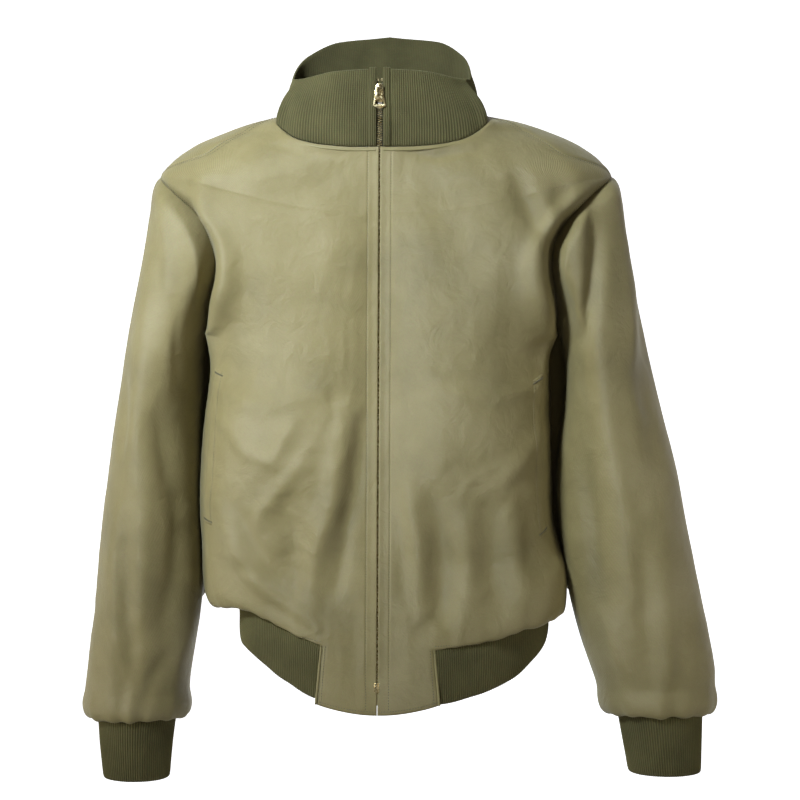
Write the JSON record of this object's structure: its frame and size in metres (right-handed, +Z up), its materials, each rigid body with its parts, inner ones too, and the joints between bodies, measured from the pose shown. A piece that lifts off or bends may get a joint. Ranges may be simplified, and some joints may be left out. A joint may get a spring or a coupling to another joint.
{
  "type": "zip-front jacket",
  "caption": "Waist-length cotton twill work jacket with a full front zip and rib-knit stand collar, cuffs and hem band.",
  "frame": {"origin": "where the wearer's shoulders carry the jacket, level with the side of the neck, on the middle of the body", "axes": "+Z up, the front faces -Y, +X towards the wearer's left arm"},
  "size_m": [0.6856, 0.2596, 0.8144],
  "materials": {
    "twill": "matte",
    "rib_knit": "matte",
    "lining": "matte",
    "tape": "matte",
    "brass": "satin",
    "label": "matte"
  },
  "bodies": {
    "jacket_body": {"back_panel": "twill", "front_panel_right": "twill", "front_panel_left": "twill", "front_facing_right": "twill", "front_facing_left": "twill", "pocket_welt_right": "twill", "pocket_welt_left": "twill", "hem_rib": "rib_knit", "collar_rib": "rib_knit", "collar_strip_right": "rib_knit", "collar_strip_left": "rib_knit", "lining_back": "lining", "lining_front_right": "lining", "lining_front_left": "lining", "pocket_bag_right": "lining", "pocket_bag_left": "lining", "zip_tape_right": "tape", "zip_tape_left": "tape", "hanger_loop": "tape", "zip_teeth_right": "brass", "zip_teeth_left": "brass", "zip_top_stop_right": "brass", "zip_top_stop_left": "brass", "zip_retainer_box": "brass", "zip_insertion_pin": "brass", "neck_label": "label"},
    "right_sleeve": {"sleeve_right": "twill", "lining_sleeve_right": "lining", "cuff_rib_right": "rib_knit"},
    "left_sleeve": {"sleeve_left": "twill", "lining_sleeve_left": "lining", "cuff_rib_left": "rib_knit"},
    "slider": {"zip_slider": "brass"},
    "pull_tab": {"zip_pull": "brass"}
  },
  "joints": [
    {"name": "slider_travel", "type": "slide", "parent": "jacket_body", "child": "slider", "axis": [0, -0.0748, -0.9972], "range_m": [0, 0.585]},
    {"name": "pull_swing", "type": "hinge", "parent": "slider", "child": "pull_tab", "pos_m": [0, -0.09103, 0.02439], "axis": [-1, 0, 0], "range_deg": [0, 160]},
    {"name": "right_sleeve_lift", "type": "hinge", "parent": "jacket_body", "child": "right_sleeve", "pos_m": [-0.243, 0, -0.062], "axis": [0, 1, 0], "range_deg": [0, 40]},
    {"name": "left_sleeve_lift", "type": "hinge", "parent": "jacket_body", "child": "left_sleeve", "pos_m": [0.243, 0, -0.062], "axis": [0, -1, 0], "range_deg": [0, 40]}
  ]
}
